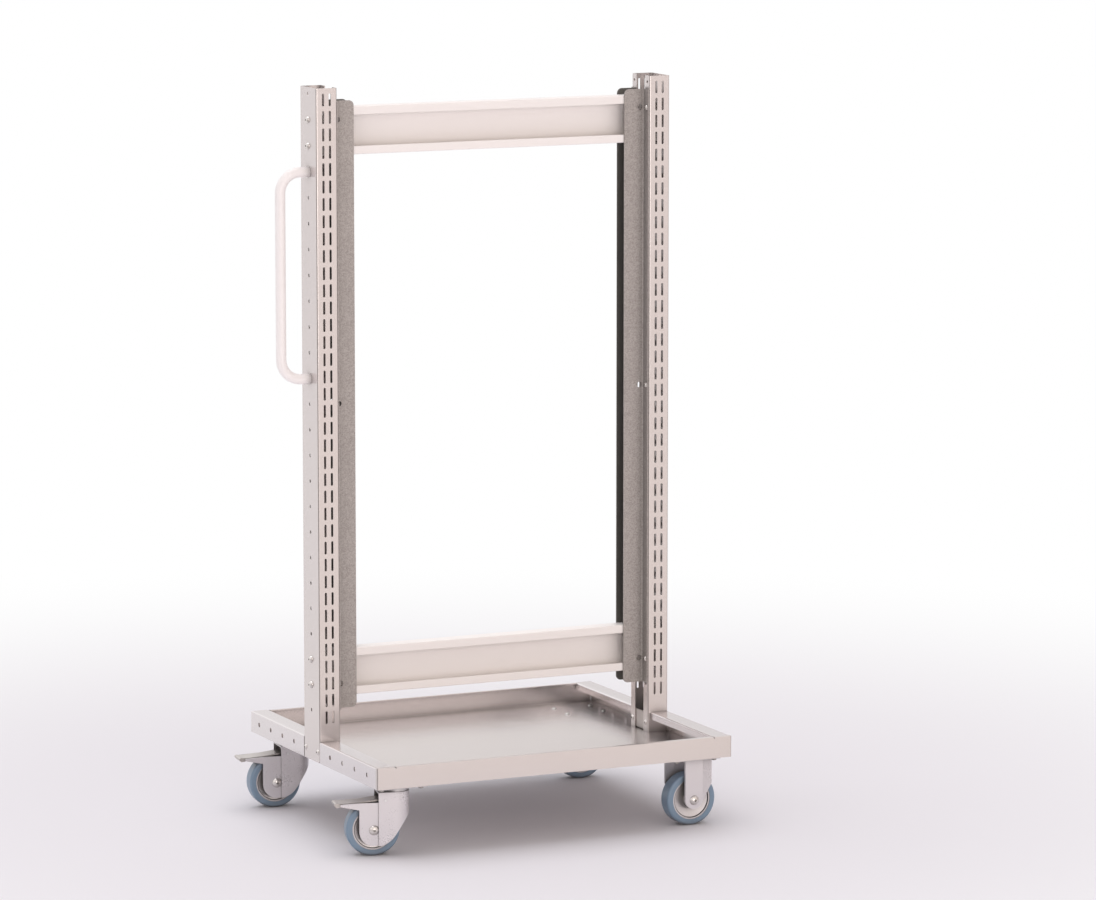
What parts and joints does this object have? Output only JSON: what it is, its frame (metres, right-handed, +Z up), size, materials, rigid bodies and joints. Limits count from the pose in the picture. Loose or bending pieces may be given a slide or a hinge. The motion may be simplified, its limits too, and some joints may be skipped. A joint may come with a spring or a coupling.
{
  "type": "modular storage cart",
  "caption": "Rolling workshop cart: a flat steel tray with two slotted uprights joined by crossbeams for hanging panels and shelves, with swivel and fixed casters and a push handle.",
  "frame": {"origin": "on the floor under the middle of the whole cart's bounding box", "axes": "+Z up, +X from the push handle towards the fixed casters, +Y from the front of the tray to its rear"},
  "size_m": [0.8285, 0.632, 1.449],
  "materials": {
    "tray": "gloss",
    "rail": "satin",
    "upright": "satin",
    "bracket": "zinc plated",
    "angle": "mottled dark zinc",
    "beam": "satin",
    "handle": "satin",
    "bolts": "bright zinc",
    "fork": "zinc plated",
    "bearing": "zinc plated",
    "pedal": "zinc plated",
    "rim": "satin",
    "tyre": "matte"
  },
  "bodies": {
    "frame": {"tray": "tray", "left_rail": "rail", "right_rail": "rail", "left_upright": "upright", "right_upright": "upright", "left_front_angle": "angle", "left_rear_angle": "angle", "right_front_angle": "angle", "right_rear_angle": "angle", "top_beam": "beam", "bottom_beam": "beam", "left_foot": "bracket", "right_foot": "bracket", "handle": "handle", "handle_bolts": "bolts", "left_beam_bolts": "bolts", "right_beam_bolts": "bolts", "left_angle_bolts": "bolts", "right_angle_bolts": "bolts", "left_foot_bolts": "bolts", "right_foot_bolts": "bolts", "caster_plate_bolts": "bolts", "front_swivel_plate": "fork", "front_swivel_race": "bearing", "front_kingpin": "bearing", "front_fixed_fork": "fork", "front_right_axle": "bolts", "front_right_nut": "bolts", "rear_swivel_plate": "fork", "rear_swivel_race": "bearing", "rear_kingpin": "bearing", "rear_fixed_fork": "fork", "rear_right_axle": "bolts", "rear_right_nut": "bolts"},
    "front_swivel": {"front_swivel_fork": "fork", "front_pedal_pin": "bearing", "front_left_axle": "bolts", "front_left_nut": "bolts"},
    "front_left_wheel": {"front_left_rim": "rim", "front_left_tyre": "tyre", "front_left_bush": "bearing"},
    "front_right_wheel": {"front_right_rim": "rim", "front_right_tyre": "tyre", "front_right_bush": "bearing"},
    "front_pedal": {"front_brake_pedal": "pedal"},
    "rear_swivel": {"rear_swivel_fork": "fork", "rear_pedal_pin": "bearing", "rear_left_axle": "bolts", "rear_left_nut": "bolts"},
    "rear_left_wheel": {"rear_left_rim": "rim", "rear_left_tyre": "tyre", "rear_left_bush": "bearing"},
    "rear_right_wheel": {"rear_right_rim": "rim", "rear_right_tyre": "tyre", "rear_right_bush": "bearing"},
    "rear_pedal": {"rear_brake_pedal": "pedal"}
  },
  "joints": [
    {"name": "front_swivel_turn", "type": "hinge", "parent": "frame", "child": "front_swivel", "pos_m": [-0.28785, -0.2655, 0.123], "axis": [0, 0, 1], "continuous": true},
    {"name": "front_left_wheel_spin", "type": "hinge", "parent": "front_swivel", "child": "front_left_wheel", "pos_m": [-0.33103, -0.25473, 0.052], "axis": [0.2419, 0.9703, 0], "continuous": true},
    {"name": "front_pedal_press", "type": "hinge", "parent": "front_swivel", "child": "front_pedal", "pos_m": [-0.3092, -0.26018, 0.1095], "axis": [-0.2419, -0.9703, 0], "range_deg": [0, 3]},
    {"name": "front_right_wheel_spin", "type": "hinge", "parent": "frame", "child": "front_right_wheel", "pos_m": [0.33865, -0.2655, 0.052], "axis": [0, 1, 0], "continuous": true},
    {"name": "rear_swivel_turn", "type": "hinge", "parent": "frame", "child": "rear_swivel", "pos_m": [-0.28785, 0.23, 0.123], "axis": [0, 0, 1], "continuous": true},
    {"name": "rear_left_wheel_spin", "type": "hinge", "parent": "rear_swivel", "child": "rear_left_wheel", "pos_m": [-0.33211, 0.23465, 0.052], "axis": [0.1045, 0.9945, 0], "continuous": true},
    {"name": "rear_pedal_press", "type": "hinge", "parent": "rear_swivel", "child": "rear_pedal", "pos_m": [-0.30973, 0.2323, 0.1095], "axis": [-0.1045, -0.9945, 0], "range_deg": [0, 3]},
    {"name": "rear_right_wheel_spin", "type": "hinge", "parent": "frame", "child": "rear_right_wheel", "pos_m": [0.33865, 0.23, 0.052], "axis": [0, 1, 0], "continuous": true}
  ]
}
